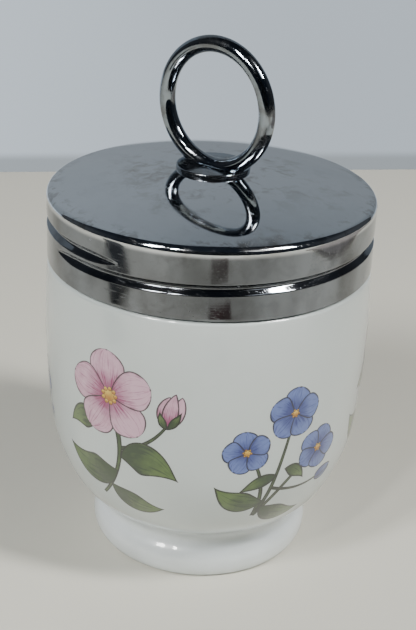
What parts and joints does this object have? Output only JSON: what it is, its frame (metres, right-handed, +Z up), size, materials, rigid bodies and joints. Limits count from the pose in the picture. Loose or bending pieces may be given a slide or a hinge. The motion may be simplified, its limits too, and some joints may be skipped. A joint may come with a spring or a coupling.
{
  "type": "egg coddler",
  "caption": "Porcelain cup on a foot ring with a domed chromed screw lid that carries an upright lifting ring, for coddling an egg in hot water.",
  "frame": {"origin": "middle of the foot's flat underside", "axes": "+Z up along the cup's axis; the lifting ring stands in the XZ plane while the lid is screwed down"},
  "size_m": [0.058, 0.058, 0.0938],
  "materials": {
    "glazed_porcelain": "glossy white glaze over porcelain, with a printed flower decoration",
    "lid_chrome": "chrome-plated pressed sheet with fine scratches and dull spots from use",
    "ring_chrome": "polished chrome plate",
    "washer_steel": "plain stainless steel, satin"
  },
  "bodies": {
    "cup": {"cup": "glazed_porcelain"},
    "lid_carrier": {"backing_washer": "washer_steel"},
    "lid": {"lid_shell": "lid_chrome", "ring_base": "ring_chrome", "lifting_ring": "ring_chrome"}
  },
  "joints": [
    {"name": "lid_lift", "type": "slide", "parent": "cup", "child": "lid_carrier", "axis": [0, 0, 1], "range_m": [0, 0.0144]},
    {"name": "lid_turn", "type": "hinge", "parent": "lid_carrier", "child": "lid", "pos_m": [0, 0, 0], "axis": [0, 0, 1], "range_deg": [0, 2160]}
  ],
  "couplings": [
    {"joint": "lid_lift", "follows": "lid_turn", "m_per_rad": 0.00038197}
  ]
}
